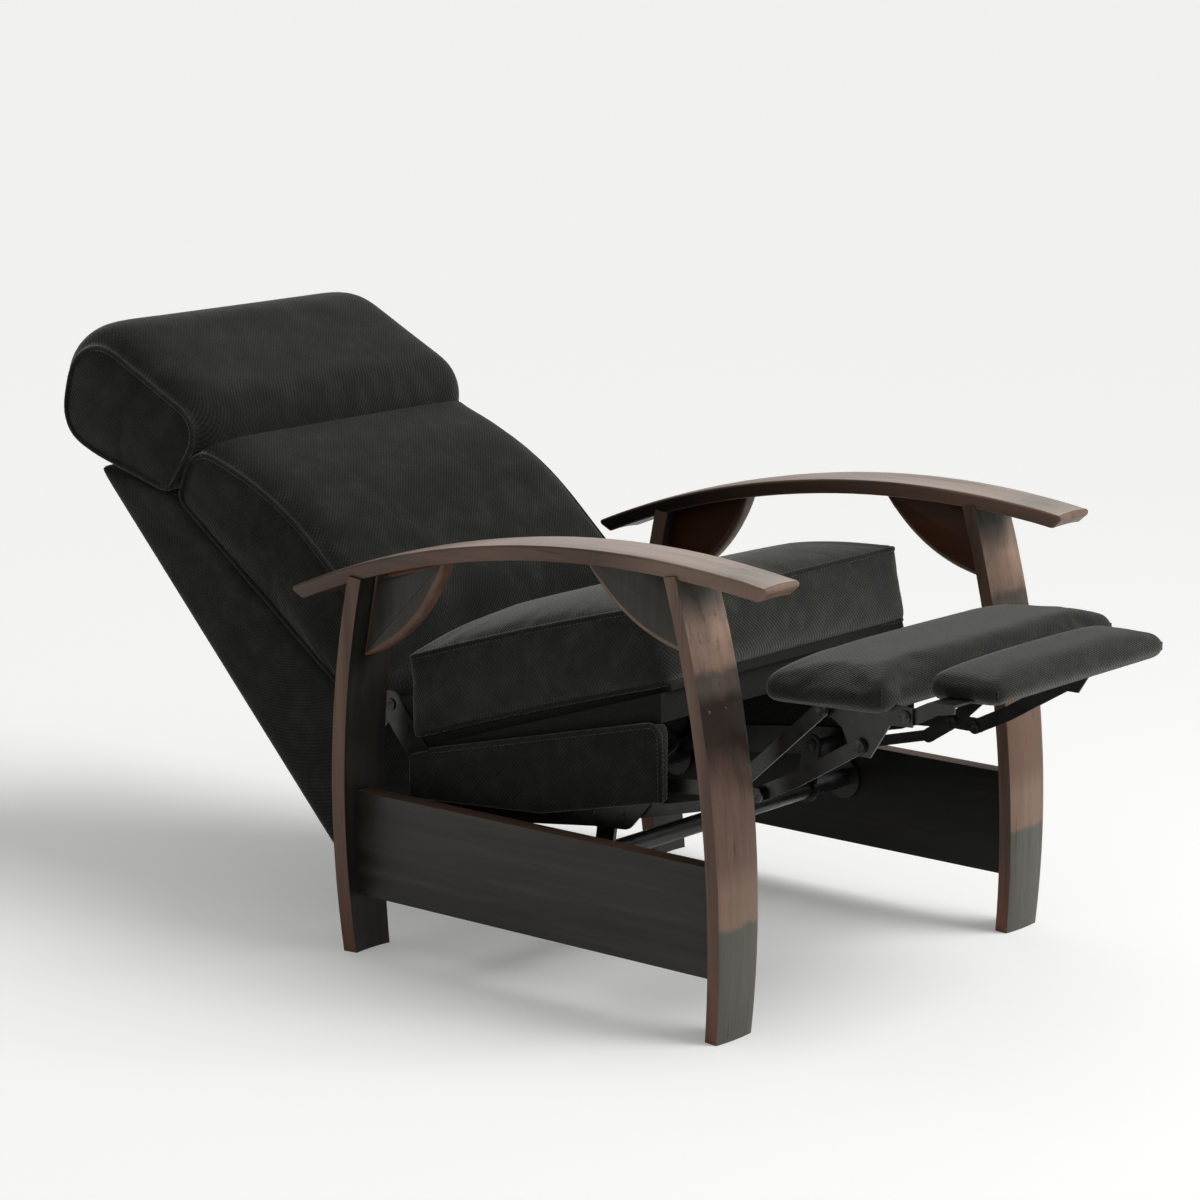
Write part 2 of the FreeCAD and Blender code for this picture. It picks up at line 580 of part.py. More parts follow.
def build_footrest():
    """Ottoman and flipper: boards, pads and the brackets that the links hold."""
    board = footrest_pad("ottoman", size("board_thick"), size("pad_crown"))
    ottoman = footrest_bracket("ottoman", *board)
    ottoman = bored("ottoman_bracket", ottoman, "ottoman", ["upper"])
    both_sides("ottoman_bracket", bored("ottoman_bracket", ottoman, "ottoman", ["flip"], gap="0"))
    rivet_group("ottoman_rivets", [rivet("flip", "ottoman", "flipper")])
    board = footrest_pad("flipper", size("flipper_thick"), size("flipper_crown"))
    flipper = footrest_bracket("flipper", *board)
    both_sides("flipper_bracket", bored("flipper_bracket", flipper, "flipper", ["flip"]))


build_frame()
build_tubes()
build_swing_links()
build_seat()
build_back()
build_links()
build_footrest()
doc.recompute()
failed = [obj.Name for obj in doc.Objects if {"Invalid", "Error"} & set(obj.State)]
broken = [label for label, obj in parts.items() if obj.Shape.isNull() or not obj.Shape.isValid()]
if failed or broken:
    raise RuntimeError(f"failed objects {failed}, broken sub-parts {broken}")
os.makedirs("parts", exist_ok=True)
for label, obj in parts.items():
    obj.Shape.exportStep(f"parts/{label}.step")
    print(label, len(obj.Shape.Solids), "solids,", round(obj.Shape.Volume), "mm3")
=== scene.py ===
import json
import math

import bmesh
import bpy
from bpy.props import FloatProperty, FloatVectorProperty, IntProperty, PointerProperty
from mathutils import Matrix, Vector

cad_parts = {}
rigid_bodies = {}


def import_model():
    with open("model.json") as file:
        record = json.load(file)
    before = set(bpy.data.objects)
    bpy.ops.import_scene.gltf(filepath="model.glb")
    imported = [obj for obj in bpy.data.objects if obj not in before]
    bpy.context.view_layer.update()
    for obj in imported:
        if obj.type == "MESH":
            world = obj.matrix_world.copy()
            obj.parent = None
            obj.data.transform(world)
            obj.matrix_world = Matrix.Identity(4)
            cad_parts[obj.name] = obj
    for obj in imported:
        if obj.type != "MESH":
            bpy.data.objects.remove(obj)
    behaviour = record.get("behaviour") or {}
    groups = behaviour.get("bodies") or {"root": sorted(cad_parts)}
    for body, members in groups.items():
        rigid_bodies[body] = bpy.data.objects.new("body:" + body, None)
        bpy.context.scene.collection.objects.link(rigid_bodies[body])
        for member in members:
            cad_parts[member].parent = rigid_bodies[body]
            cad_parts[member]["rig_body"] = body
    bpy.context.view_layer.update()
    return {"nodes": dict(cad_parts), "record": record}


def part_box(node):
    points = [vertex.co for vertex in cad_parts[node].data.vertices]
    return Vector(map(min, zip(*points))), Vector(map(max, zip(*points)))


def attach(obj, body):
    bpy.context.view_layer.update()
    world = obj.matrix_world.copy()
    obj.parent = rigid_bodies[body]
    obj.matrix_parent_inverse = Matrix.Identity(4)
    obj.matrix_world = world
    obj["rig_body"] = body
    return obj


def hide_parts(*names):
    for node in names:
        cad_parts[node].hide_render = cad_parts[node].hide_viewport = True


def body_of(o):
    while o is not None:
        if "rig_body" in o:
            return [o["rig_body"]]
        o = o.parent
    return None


bl_info = {
    "name": "Barrel Stave Recliner",
    "version": (1, 0, 0),
    "blender": (4, 5, 0),
    "location": "View3D > Sidebar > Recliner",
    "description": "Dresses the frame of a reclining barrel stave chair: wood, steelwork, cushions and stage",
    "category": "Object",
}

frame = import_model()
SIDES = {"left": 1, "right": -1}  # the way outward along x
ALONG, UP = 1, 2  # axes that grain can run along
WELD = 1e-5  # points closer than this are one


class ReclinerSizes(bpy.types.PropertyGroup):
    """Sizes of what is sewn, rounded or driven in."""
    welt: FloatProperty(
        name="Welt", description="Radius of the piping on the seams", default=0.0042, unit="LENGTH")
    pleat: FloatProperty(
        name="Pleat", description="Radius of the fold at a pad's corner", default=0.0016, unit="LENGTH")
    mesh_step: FloatProperty(
        name="Cloth step", description="Size of one square of cushion cloth", default=0.009, unit="LENGTH")
    pressure: FloatProperty(
        name="Pressure", description="Pressure of the stuffing in the simulation", default=4.0)
    slack: FloatProperty(
        name="Slack", description="Share by which the cloth is cut too large", default=0.004, subtype="FACTOR")
    cloth_frames: IntProperty(
        name="Cloth frames", description="Frames of the cushion simulation", default=20)
    edge_round: FloatProperty(
        name="Stave edge", description="Width of the rounded edge of a stave", default=0.0040, unit="LENGTH")
    rail_round: FloatProperty(
        name="Rail edge", description="Width of the edge of a side rail", default=0.0018, unit="LENGTH")
    rim_round: FloatProperty(
        name="Corbel rim", description="Width of the rubbed rim of a corbel", default=0.008, unit="LENGTH")
    joint_round: FloatProperty(
        name="Corbel joint", description="Width of a corbel's other edges", default=0.001, unit="LENGTH")
    apron_round: FloatProperty(
        name="Apron edge", description="Width of a covered board's edge", default=0.006, unit="LENGTH")
    nail: FloatProperty(
        name="Nail", description="Radius of a nail head in a leg", default=0.0026, unit="LENGTH")
    lens: FloatProperty(
        name="Lens", description="Focal length of the camera in millimetres", default=115.68, unit="CAMERA")


class ReclinerColours(bpy.types.PropertyGroup):
    """Colours of the finishes."""
    cloth: FloatVectorProperty(name="Cloth", description="Charcoal of the woven cloth", subtype="COLOR",
                               default=(0.0145, 0.0149, 0.0119))
    stave: FloatVectorProperty(name="Stave", description="Brown of the weathered staves", subtype="COLOR",
                               default=(0.165, 0.098, 0.070))
    char: FloatVectorProperty(name="Char", description="Black of the charred inner faces", subtype="COLOR",
                              default=(0.019, 0.0175, 0.0135))
    steel: FloatVectorProperty(name="Steel", description="Black paint of the steelwork", subtype="COLOR",
                               default=(0.0065, 0.0065, 0.0062))
    floor: FloatVectorProperty(name="Floor", description="Pale floor", subtype="COLOR",
                               default=(0.90, 0.90, 0.885))


def sizes():
    """The sizes set in the panel."""
    return bpy.context.scene.recliner_sizes


def colours():
    """The colours set in the panel."""
    return bpy.context.scene.recliner_colours


class Shader:
    """A material with a Principled surface and short calls for the nodes that feed it."""

    def __init__(self, name, roughness=0.6, metallic=0.0, specular=0.5):
        self.material = bpy.data.materials.new(name)
        self.material.use_nodes = True
        self.tree = self.material.node_tree
        self.surface = self.tree.nodes["Principled BSDF"]
        self.surface.inputs["Roughness"].default_value = roughness
        self.surface.inputs["Metallic"].default_value = metallic
        self.surface.inputs["Specular IOR Level"].default_value = specular

    def node(self, kind, **settings):
        made = self.tree.nodes.new("ShaderNode" + kind)
        for key, value in settings.items():
            setattr(made, key, value)
        return made

    def link(self, source, target):
        self.tree.links.new(source, target)

    def place(self, source="Object", scale=(1, 1, 1)):
        """Coordinates, scaled."""
        coordinates = self.node("TexCoord")
        mapping = self.node("Mapping")
        mapping.inputs["Scale"].default_value = scale
        self.link(coordinates.outputs[source], mapping.inputs["Vector"])
        return mapping.outputs["Vector"]

    def noise(self, vector, scale, detail=4.0, roughness=0.55):
        made = self.node("TexNoise")
        made.inputs["Scale"].default_value = scale
        made.inputs["Detail"].default_value = detail
        made.inputs["Roughness"].default_value = roughness
        self.link(vector, made.inputs["Vector"])
        return made.outputs["Fac"]

    def maths(self, operation, first, second=None):
        made = self.node("Math", operation=operation)
        for socket, value in zip(made.inputs, (first, second)):
            if isinstance(value, (int, float)):
                socket.default_value = value
            elif value is not None:
                self.link(value, socket)
        return made.outputs[0]

    def ramp(self, value, stops):
        """Grey or colour stops along a value."""
        made = self.node("ValToRGB")
        elements = made.color_ramp.elements
        while len(elements) < len(stops):
            elements.new(0.5)
        for element, (at, colour) in zip(elements, stops):
            element.position = at
            element.color = (colour, colour, colour, 1) if isinstance(colour, (int, float)) else (*colour, 1)
        self.link(value, made.inputs["Fac"])
        return made.outputs["Color"]

    def mix(self, share, first, second, blend="MIX"):
        made = self.node("Mix", data_type="RGBA", blend_type=blend)
        for key, value in (("Factor", share), ("A", first), ("B", second)):
            socket = made.inputs[key]
            if isinstance(value, (int, float)):
                socket.default_value = value
            elif isinstance(value, (tuple, list)):
                socket.default_value = (*value, 1)
            else:
                self.link(value, socket)
        return made.outputs["Result"]

    def bump(self, height, distance, strength=1.0):
        made = self.node("Bump")
        made.inputs["Distance"].default_value = distance
        made.inputs["Strength"].default_value = strength
        self.link(height, made.inputs["Height"])
        self.link(made.outputs["Normal"], self.surface.inputs["Normal"])

    def colour(self, value):
        self.link(value, self.surface.inputs["Base Color"])

    def rough(self, value):
        self.link(value, self.surface.inputs["Roughness"])


def tint(colour, factor):
    """A colour made lighter or darker."""
    return tuple(min(1.0, part * factor) for part in colour)


def woven_cloth(name, lightness=1.0, sheen=0.46, spread=0.34):
    """Charcoal chenille in a fine broken twill; the pattern follows the cloth's own UV map in metres."""
    shader = Shader(name, roughness=0.92, specular=0.25)
    cloth = tint(tuple(colours().cloth), lightness)
    at = shader.place("UV")
    split = shader.node("SeparateXYZ")
    shader.link(at, split.inputs["Vector"])
    across, along = split.outputs["X"], split.outputs["Y"]
    stray = shader.maths("MULTIPLY", shader.noise(at, 40), 0.004)
    slant = shader.maths("ADD", shader.maths("ADD", across, along), stray)
    counter = shader.maths("SUBTRACT", across, along)
    ridge, cross_ridge = 0.0058, 0.0072
    thread = shader.maths("SINE", shader.maths("MULTIPLY", slant, 2 * math.pi / ridge))
    yarn = shader.maths("SINE", shader.maths("MULTIPLY", counter, 2 * math.pi / cross_ridge))
    weave = shader.maths("ADD", shader.maths("MULTIPLY", thread, 0.34), shader.maths("MULTIPLY", yarn, 0.14))
    tuft = shader.noise(at, 420, detail=2)
    height = shader.maths("ADD", weave, tuft)
    nap = shader.noise(at, 16, detail=6, roughness=0.68)
    worn = shader.ramp(nap, ((0.32, tint(cloth, 0.50)), (0.50, cloth), (0.68, tint(cloth, 2.0))))
    light = shader.ramp(height, ((0.05, 0.30), (0.95, 1.0)))
    shader.colour(shader.mix(1.0, worn, light, "MULTIPLY"))
    shader.bump(height, 0.0009, 0.7)
    shader.surface.inputs["Sheen Weight"].default_value = sheen
    shader.surface.inputs["Sheen Roughness"].default_value = spread
    shader.surface.inputs["Sheen Tint"].default_value = (0.66, 0.66, 0.60, 1)
    return shader.material


def paint(red, green, blue):
    """A colour as it is mixed on a screen, from 0 to 255, in the linear parts that a shader takes."""
    return tuple(((part / 255 + 0.055) / 1.055) ** 2.4 for part in (red, green, blue))


# Named tones of the staves. "pale" and "worn" are partly painted highlight: they draw the fronts of the arm
# tops and a band high on the legs lighter where those catch the light.
WOOD = {"pale": paint(190, 170, 158), "hoop": paint(162, 155, 144), "worn": paint(166, 138, 121),
        "bare": paint(128, 104, 90), "brown": paint(110, 84, 71), "dark": paint(88, 67, 55),
        "grey": paint(88, 86, 79), "smoke": paint(77, 68, 60), "stain": paint(36, 22, 14),
        "red": paint(128, 82, 64), "umber": paint(80, 44, 24)}


def stave_wood(name, run, tones, roughness=0.45, coat=0.0, stain_depth=0.5, specular=0.3):
    """Oak stave: grain along one axis, with named tones at places along it, dark stains and pores."""
    shader = Shader(name, roughness=roughness, specular=specular)
    stretch = [52.0, 52.0, 52.0]
    stretch[run] = 2.4
    at = shader.place("Object", scale=stretch)
    grain = shader.noise(at, 1.0, detail=8, roughness=0.62)
    fine = shader.noise(at, 5.2, detail=4)
    plain = shader.place("Object")
    split = shader.node("SeparateXYZ")
    shader.link(plain, split.inputs["Vector"])
    drift = shader.maths("SUBTRACT", shader.noise(plain, 30.0), 0.5)
    along = shader.maths("ADD", split.outputs[run], shader.maths("MULTIPLY", drift, 0.024))
    low, high = tones[0][0], tones[-1][0]
    share = shader.maths("DIVIDE", shader.maths("SUBTRACT", along, low), high - low)
    tone = shader.ramp(share, [((place - low) / (high - low), WOOD[wood]) for place, wood in tones])
    tone = shader.mix(1.0, tone, shader.ramp(grain, ((0.28, 0.52), (0.46, 0.86), (0.66, 1.0))), "MULTIPLY")
    pores = shader.ramp(shader.noise(at, 2.6, detail=3, roughness=0.7), ((0.30, 0.45), (0.40, 1.0)))
    tone = shader.mix(0.8, tone, pores, "MULTIPLY")
    blots = shader.place("Object", scale=[min(11.0, part / 3) for part in stretch])
    stain = shader.noise(blots, 1.0, detail=5)
    tone = shader.mix(stain_depth, tone, shader.ramp(stain, ((0.36, 0.30), (0.55, 1.0))), "MULTIPLY")
    shader.colour(tone)
    shader.rough(shader.ramp(fine, ((0.2, roughness - 0.10), (0.8, roughness + 0.12))))
    shader.bump(shader.maths("ADD", grain, shader.maths("MULTIPLY", fine, 0.4)), 0.0012, 0.4)
    shader.surface.inputs["Coat Weight"].default_value = coat
    shader.surface.inputs["Coat Roughness"].default_value = 0.32
    return shader.material


def charred_wood(name, run, glow=0.25, roughness=0.5, lightness=1.0):
    """Charred oak: near black with faint brown streaks along the grain."""
    shader = Shader(name, roughness=roughness, specular=0.28)
    char, brown = tint(tuple(colours().char), lightness), tuple(colours().stave)
    stretch = [60.0, 60.0, 60.0]
    stretch[run] = 2.6
    at = shader.place("Object", scale=stretch)
    grain = shader.noise(at, 1.0, detail=8, roughness=0.6)
    patch = shader.noise(shader.place("Object", scale=(7, 3, 10)), 1.0, detail=4)
    streak = shader.maths("MULTIPLY", shader.ramp(grain, ((0.5, 0.0), (0.8, 1.0))),
                          shader.ramp(patch, ((0.42, 0.0), (0.75, glow))))
    tone = shader.ramp(grain, ((0.25, tint(char, 0.6)), (0.75, tint(char, 1.5))))
    shader.colour(shader.mix(streak, tone, brown))
    shader.rough(shader.ramp(patch, ((0.3, roughness - 0.08), (0.7, roughness + 0.1))))
    shader.bump(grain, 0.001, 0.45)
    return shader.material


def black_steel():
    """Black paint over stamped steel, with worn, slightly brighter patches."""
    shader = Shader("black_paint", roughness=0.38, specular=0.5)
    steel = tuple(colours().steel)
    at = shader.place("Object")
    wear = shader.noise(at, 60.0, detail=6, roughness=0.65)
    shader.colour(shader.ramp(wear, ((0.35, tint(steel, 0.7)), (0.62, steel), (0.80, tint(steel, 2.8)))))
    shader.rough(shader.ramp(wear, ((0.3, 0.24), (0.75, 0.46))))
    shader.bump(shader.noise(at, 420.0, detail=2), 0.0003, 0.3)
    return shader.material


def bright_steel():
    """Rivet heads: black finish rubbed to bare steel on the crown."""
    shader = Shader("rubbed_steel", roughness=0.33, metallic=0.85)
    wear = shader.noise(shader.place("Object"), 150.0, detail=4)
    shader.colour(shader.ramp(wear, ((0.40, (0.018, 0.018, 0.018)), (0.72, (0.10, 0.097, 0.093)))))
    shader.rough(shader.ramp(wear, ((0.3, 0.28), (0.7, 0.5))))
    return shader.material


def shade_black_cover():
    """Black cambric over the boards inside the seat, made near-black as painted shade for the dark gap under
    the seat cushion.
    """
    shader = Shader("black_cambric", roughness=0.95, specular=0.15)
    fuzz = shader.noise(shader.place("Object"), 700.0, detail=2)
    shader.colour(shader.ramp(fuzz, ((0.3, (0.008, 0.008, 0.008)), (0.7, (0.020, 0.020, 0.019)))))
    shader.bump(fuzz, 0.0004, 0.5)
    return shader.material


MADE = {}


def once(name, maker):
    """A cloth or node tree that several pieces share is made once."""
    if name not in MADE:
        MADE[name] = maker()
    return MADE[name]


def cloth_material(rubbed=False):
    """The chair's cloth, or a lighter copy of it for the seat and footrest, whose extra lightness is painted
    light: their tops drawn as if catching more light from above.
    """
    # rubbed asks for the lighter copy, whose lightness is painted light on the seat and footrest tops
    if rubbed:
        return once("painted_light_cloth", lambda: woven_cloth("rubbed_chenille", lightness=1.4, spread=0.43))
    return once("cloth", lambda: woven_cloth("charcoal_chenille"))


def new_object(name, mesh):
    """A mesh as an object of the scene."""
    piece = bpy.data.objects.new(name, mesh)
    bpy.context.scene.collection.objects.link(piece)
    return piece


def sewn(name, points, faces, uvs):
    """A mesh of cloth, with a UV map in metres that is given face by face."""
    made = bpy.data.meshes.new(name)
    made.from_pydata(points, [], faces)
    layer = made.uv_layers.new(name="UVMap")
    for polygon, ring in zip(made.polygons, uvs):
        for loop, uv in zip(polygon.loop_indices, ring):
            layer.data[loop].uv = uv
    return made


def frozen(piece):
    """Take a piece's modifiers into its plain mesh, and return that mesh."""
    graph = bpy.context.evaluated_depsgraph_get()
    mesh = bpy.data.meshes.new_from_object(piece.evaluated_get(graph))
    piece.modifiers.clear()
    old, piece.data = piece.data, mesh
    bpy.data.meshes.remove(old)
    return mesh


def smooth(piece, angle=None):
    """Smooth shading, up to an angle in degrees if one is given."""
    mesh = piece.data
    mesh.polygons.foreach_set("use_smooth", [True] * len(mesh.polygons))
    if angle is not None:
        mesh.set_sharp_from_angle(angle=math.radians(angle))
    mesh.update()


def shape_tree(name, source, result):
    """A node tree that takes a mesh, a radius and a material, and ends in real geometry with that material.

    Comes back as the tree, the keys of radius and material, its input node and the node that awaits the shape.
    """
    tree = bpy.data.node_groups.new(name, "GeometryNodeTree")
    keys = [tree.interface.new_socket(key, in_out="INPUT", socket_type="NodeSocket" + kind).identifier
            for key, kind in ((source, "Geometry"), ("Radius", "Float"), ("Material", "Material"))]
    tree.interface.new_socket(result, in_out="OUTPUT", socket_type="NodeSocketGeometry")
    nodes, links = tree.nodes, tree.links
    start, end = nodes.new("NodeGroupInput"), nodes.new("NodeGroupOutput")
    real, coat = nodes.new("GeometryNodeRealizeInstances"), nodes.new("GeometryNodeSetMaterial")
    links.new(real.outputs["Geometry"], coat.inputs["Geometry"])
    links.new(start.outputs["Material"], coat.inputs["Material"])
    links.new(coat.outputs["Geometry"], end.inputs[result])
    return tree, keys[1:], start, real


def run_tree(piece, tree, keys, radius, finish):
    """Give a piece the plain mesh that a node tree makes of it, and return that mesh."""
    modifier = piece.modifiers.new("shape", "NODES")
    modifier.node_group = tree
    for key, value in zip(keys, (radius, finish)):
        modifier[key] = value
    return frozen(piece)


def welt_tree():
    """Round piping swept along the seam lines of a mesh made of edges."""
    tree, keys, start, real = shape_tree("welt_piping", "Seams", "Piping")
    nodes, links = tree.nodes, tree.links
    curve = nodes.new("GeometryNodeMeshToCurve")
    circle = nodes.new("GeometryNodeCurvePrimitiveCircle")
    circle.inputs["Resolution"].default_value = 10
    sweep = nodes.new("GeometryNodeCurveToMesh")
    sweep.inputs["Fill Caps"].default_value = True
    links.new(start.outputs["Seams"], curve.inputs["Mesh"])
    links.new(start.outputs["Radius"], circle.inputs["Radius"])
    links.new(curve.outputs["Curve"], sweep.inputs["Curve"])
    links.new(circle.outputs["Curve"], sweep.inputs["Profile Curve"])
    links.new(sweep.outputs["Mesh"], real.inputs["Geometry"])
    return tree, keys


def rounded_line(points, closed, passes=3):
    """Ease the corners of a seam line."""
    line = [Vector(point) for point in points]
    for _ in range(passes):
        count = len(line)
        eased = []
        for index, point in enumerate(line):
            if not closed and index in (0, count - 1):
                eased.append(point)
                continue
            eased.append(point * 0.5 + (line[index - 1] + line[(index + 1) % count]) * 0.25)
        line = eased
    return line


def dotted(corners, step):
    """Points at even steps along a line with corners."""
    line = []
    for a, b in zip(corners, corners[1:]):
        a, b = Vector(a), Vector(b)
        count = max(1, round((b - a).length / step))
        line.extend(a.lerp(b, number / count) for number in range(count))
    return line + [Vector(corners[-1])]


def welt(name, lines, body, radius=None):
    """Piping along closed or open seam lines, as one piece on a body."""
    mesh = bpy.data.meshes.new(name)
    points, edges = [], []
    for line, closed in lines:
        first = len(points)
        points.extend(rounded_line(line, closed))
        count = len(line)
        edges.extend((first + i, first + (i + 1) % count) for i in range(count if closed else count - 1))
    mesh.from_pydata(points, edges, [])
    piece = new_object(name, mesh)
    made = run_tree(piece, *once("welt_tree", welt_tree), radius or sizes().welt, cloth_material())
    along = made.uv_layers.get("UVMap") or made.uv_layers.new(name="UVMap")
    for loop in made.loops:
        spot = made.vertices[loop.vertex_index].co
        along.data[loop.index].uv = (spot.x + spot.y * 0.3, spot.z + spot.y)
    smooth(piece)
    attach(piece, body)


def stud_tree():
    """A low dome on every point, turned to the way that the point faces."""
    tree, keys, start, real = shape_tree("stud_heads", "Places", "Heads")
    nodes, links = tree.nodes, tree.links
    ball = nodes.new("GeometryNodeMeshUVSphere")
    ball.inputs["Segments"].default_value = 14
    ball.inputs["Rings"].default_value = 8
    facing = nodes.new("GeometryNodeInputNamedAttribute")
    facing.data_type = "FLOAT_VECTOR"
    facing.inputs["Name"].default_value = "facing"
    turn = nodes.new("FunctionNodeAlignRotationToVector")
    turn.axis = "Z"
    spread = nodes.new("GeometryNodeInstanceOnPoints")
    spread.inputs["Scale"].default_value = (1.0, 1.0, 0.45)
    links.new(start.outputs["Places"], spread.inputs["Points"])
    links.new(start.outputs["Radius"], ball.inputs["Radius"])
    links.new(ball.outputs["Mesh"], spread.inputs["Instance"])
    links.new(facing.outputs["Attribute"], turn.inputs["Vector"])
    links.new(turn.outputs["Rotation"], spread.inputs["Rotation"])
    links.new(spread.outputs["Instances"], real.inputs["Geometry"])
    return tree, keys


def studs(name, spots, radius, body, finish):
    """Domed heads at (place, way it faces) pairs, as one piece on a body."""
    mesh = bpy.data.meshes.new(name)
    mesh.from_pydata([spot for spot, _ in spots], [], [])
    facing = mesh.attributes.new("facing", "FLOAT_VECTOR", "POINT")
    for entry, (_, way) in zip(facing.data, spots):
        entry.vector = way
    piece = new_object(name, mesh)
    run_tree(piece, *stud_tree(), radius, finish)
    smooth(piece)
    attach(piece, body)


class Lattice:
    """The skin of a six-sided stuffed form, cut into squares, with its seams known by lattice place.

    u runs across the chair, v from the front corner to the rear one and w from the underside to the top.
    """

    def __init__(self, place, counts, lengths):
        self.counts = counts
        self.lengths = lengths
        self.index = {}
        self.points = []
        nu, nv, nw = counts
        for i in range(nu + 1):
            for j in range(nv + 1):
                for k in range(nw + 1):
                    if i in (0, nu) or j in (0, nv) or k in (0, nw):
                        self.index[i, j, k] = len(self.points)
                        self.points.append(place(2 * i / nu - 1, j / nv, k / nw))
        self.faces, self.uvs = [], []
        for k in (0, nw):
            self.panel(range(nu), range(nv), lambda i, j: (i, j, k), flip=k == 0, spans=(0, 1))
        for j in (0, nv):
            self.panel(range(nu), range(nw), lambda i, k, j=j: (i, j, k), flip=j != 0, spans=(0, 2))
        for i in (0, nu):
            self.panel(range(nv), range(nw), lambda j, k, i=i: (i, j, k), flip=i == 0, spans=(1, 2))

    def panel(self, first, second, key, flip, spans):
        """One of the six sides, in squares."""
        step = [self.lengths[axis] / self.counts[axis] for axis in spans]
        for a in first:
            for b in second:
                ring = [(a, b), (a + 1, b), (a + 1, b + 1), (a, b + 1)]
                if flip:
                    ring.reverse()
                self.faces.append([self.index[key(*corner)] for corner in ring])
                self.uvs.append([(corner[0] * step[0], corner[1] * step[1]) for corner in ring])

    def level_loop(self, k):
        """Lattice places round the form at one level."""
        nu, nv, _ = self.counts
        return ([(i, 0, k) for i in range(nu)] + [(nu, j, k) for j in range(nv)]
                + [(i, nv, k) for i in range(nu, 0, -1)] + [(0, j, k) for j in range(nv, 0, -1)])

    def upright(self, i):
        """Lattice places up a front corner, between the rounded edges."""
        return [(i, 0, k) for k in range(1, self.counts[2])]

    def line(self, mesh, loop):
        """Where the named lattice places lie in the mesh now."""
        return [mesh.vertices[self.index[key]].co.copy() for key in loop]


def dome(a, power=6):
    """1 over most of a panel, falling to 0 at its two seams; a runs from -1 to 1."""
    return 1 - abs(a) ** power


def box_spans(corners, half):
    """Width, mean depth and mean height of a stuffed box."""
    low_front, low_rear, high_rear, high_front = (Vector((0, *corner)) for corner in corners)
    return (2 * half, ((low_rear - low_front).length + (high_rear - high_front).length) / 2,
            ((high_front - low_front).length + (high_rear - low_rear).length) / 2)


def box_cushion(corners, half, bulges, arches, pull, edge):
    """A place function for a stuffed box: side-view corners (front low, rear low, rear high, front high).

    bulges are (underside, top, front, rear, ends); arches bow the lower and upper edges of the side panels
    upward; pull draws the seams in between their corners; edge is the radius of the rounded edges.
    """
    low_front, low_rear, high_rear, high_front = (Vector((0, *corner)) for corner in corners)
    spans = box_spans(corners, half)

    def eased(shares):
        """Lattice place with its edges rounded off."""
        here = Vector(share * span / 2 for share, span in zip(shares, spans))
        core = Vector(max(edge - span / 2, min(span / 2 - edge, part)) for part, span in zip(here, spans))
        away = here - core
        if away.length > edge:
            here = core + away.normalized() * edge
        return [2 * part / span for part, span in zip(here, spans)]

    def place(u, v, w):
        """Lattice place to point, with the panels bulged and the seams drawn in."""
        b, c = 2 * v - 1, 2 * w - 1
        under, top, front, rear, ends = bulges
        grown = Vector()
        if w in (0, 1):
            grown.z = (top if w else -under) * dome(u) * dome(b)
        if v in (0, 1):
            grown.y = (rear if v else -front) * dome(u) * dome(c)
        if u in (-1, 1):
            grown.x = u * ends * dome(b) * dome(c)
        if w in (0, 1):
            if u in (-1, 1):
                grown.x -= u * pull * dome(b, 2)
            if v in (0, 1):
                grown.y -= b * pull * dome(u, 2)
        across, along, up = eased((u, b, c))
        share_v, share_w = (along + 1) / 2, (up + 1) / 2
        low, high = low_front.lerp(low_rear, share_v), high_front.lerp(high_rear, share_v)
        rise = (high - low).normalized()
        run = (low_rear.lerp(high_rear, share_w) - low_front.lerp(high_front, share_w)).normalized()
        bow = (arches[0] * (1 - share_w) + arches[1] * share_w) * dome(along, 2)
        return (low.lerp(high, share_w) + rise * (bow + grown.z) + run * grown.y
                + Vector((half * across + grown.x, 0, 0)))

    return place


def count_for(length, step=None):
    """How many squares of cloth a length is cut into."""
    return max(4, round(length / (step or sizes().mesh_step)))


def inflate(piece, pins, cap):
    """Blow up the cloth between its pinned seams, and keep every point within a cap of where it began."""
    if not cap:
        return
    group = piece.vertex_groups.new(name="seams")
    group.add(sorted(pins), 1.0, "REPLACE")
    start = [vertex.co.copy() for vertex in piece.data.vertices]
    modifier = piece.modifiers.new("stuffing", "CLOTH")
    cloth = modifier.settings
    cloth.quality = 5
    cloth.mass = 0.3
    cloth.tension_stiffness = cloth.compression_stiffness = 18
    cloth.shear_stiffness = 8
    cloth.bending_stiffness = 0.6
    cloth.use_pressure = True
    cloth.uniform_pressure_force = sizes().pressure
    cloth.shrink_min = -sizes().slack
    cloth.vertex_group_mass = "seams"
    cloth.pin_stiffness = 1.0
    cloth.effector_weights.gravity = 0
    modifier.collision_settings.use_collision = False
    modifier.collision_settings.use_self_collision = False
    scene = bpy.context.scene
    for number in range(1, sizes().cloth_frames + 1):
        scene.frame_set(number)
    graph = bpy.context.evaluated_depsgraph_get()
    blown = [vertex.co.copy() for vertex in piece.evaluated_get(graph).data.vertices]
    piece.modifiers.remove(modifier)
    scene.frame_set(1)
    for vertex, here, there in zip(piece.data.vertices, start, blown):
        move = there - here
        if move.length > cap:
            move *= cap / move.length
        vertex.co = here + move
    piece.vertex_groups.clear()


def finish_cushion(piece, body, nodes):
    """One subdivision, smooth shading and the calls that every cushion needs."""
    # Cushions that are not on the back get the lighter copy of the cloth: painted light on the seat and
    # footrest
    piece.data.materials.append(cloth_material(rubbed=body != "back"))
    modifier = piece.modifiers.new("soft", "SUBSURF")
    modifier.levels = modifier.render_levels = 1
    frozen(piece)
    smooth(piece)
    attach(piece, body)
    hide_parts(*nodes)


